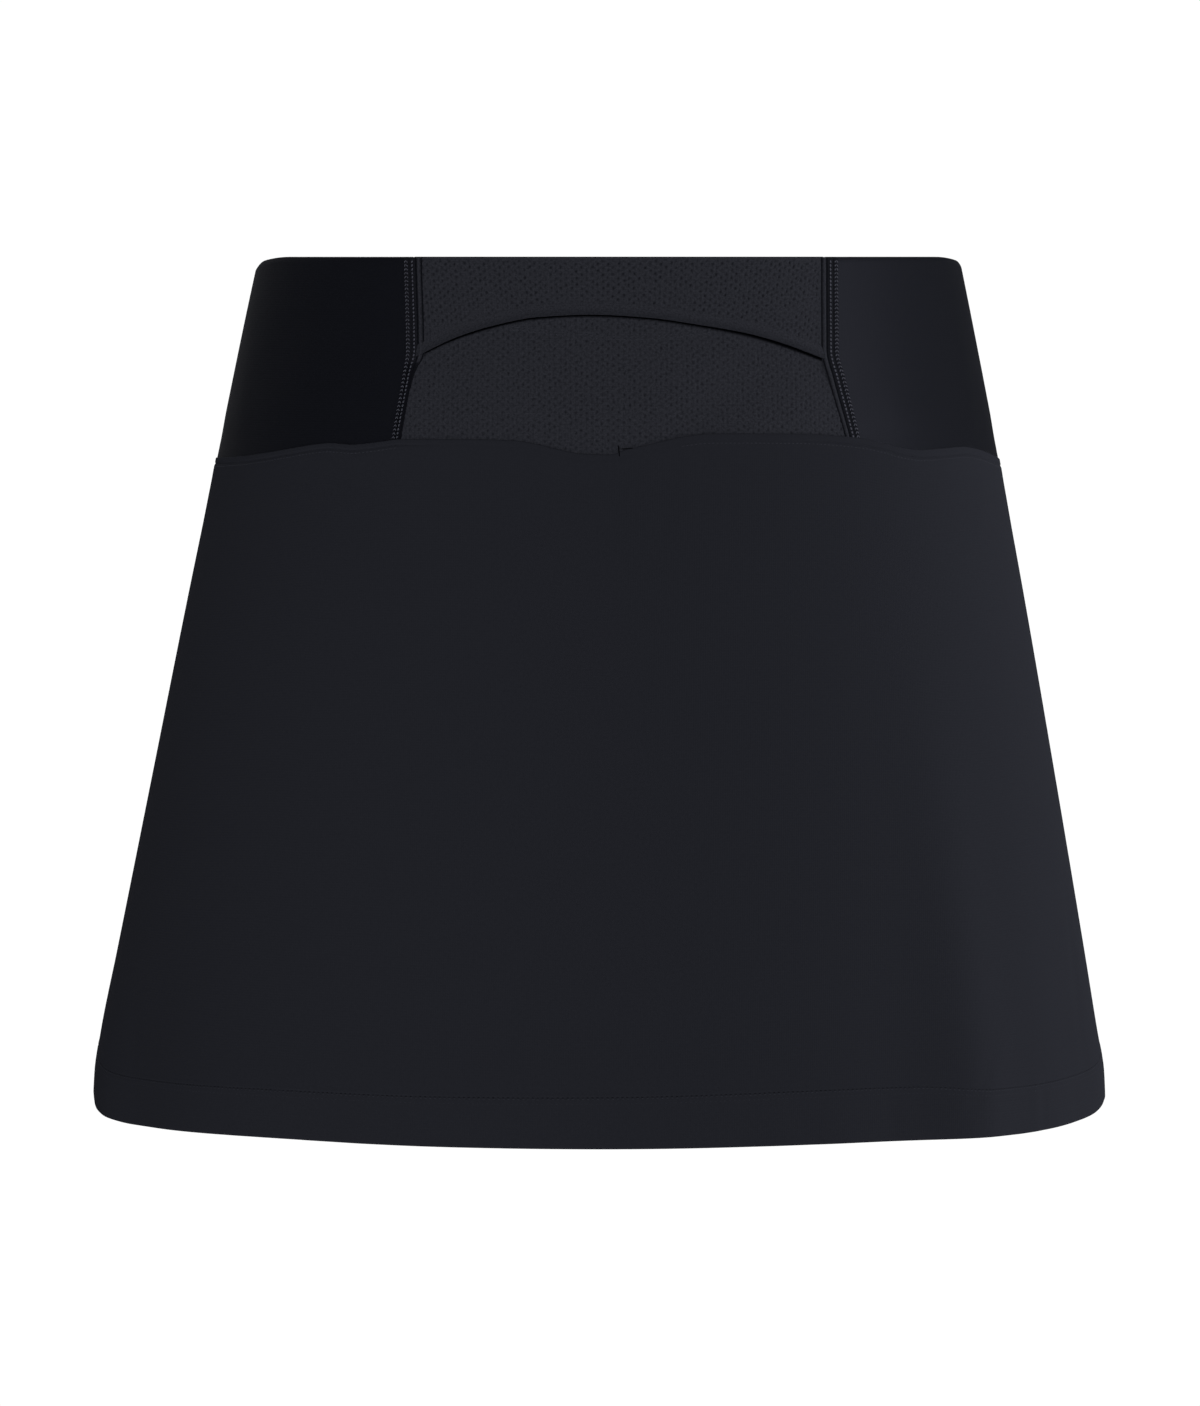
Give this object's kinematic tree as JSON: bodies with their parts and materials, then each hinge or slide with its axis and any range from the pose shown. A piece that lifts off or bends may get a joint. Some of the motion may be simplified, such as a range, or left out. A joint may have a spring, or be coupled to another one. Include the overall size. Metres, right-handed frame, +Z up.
{
  "type": "skort",
  "caption": "Filled-out running skort: smooth wrap waistband, arched mesh back pocket, flared skirt lapped over it and fitted inner shorts.",
  "frame": {"origin": "middle of the waist edge, where the wearer's waist holds the garment", "axes": "+Z up out of the waist, +X to the wearer's left, +Y to the wearer's back"},
  "size_m": [0.3991, 0.3002, 0.3402],
  "materials": {
    "interlock": "smooth interlock knit, soft sheen",
    "birdseye": "dimpled birdseye mesh, matte",
    "skirt_knit": "light smooth knit, matte",
    "shorts_knit": "stretch knit, matte"
  },
  "bodies": {
    "root": {"waistband": "interlock", "back_flap": "birdseye", "pocket_binding": "interlock", "pocket_panel": "birdseye", "pocket_back": "birdseye", "skirt_back": "skirt_knit", "skirt_front": "skirt_knit", "shorts_left": "shorts_knit", "shorts_right": "shorts_knit"}
  },
  "joints": []
}
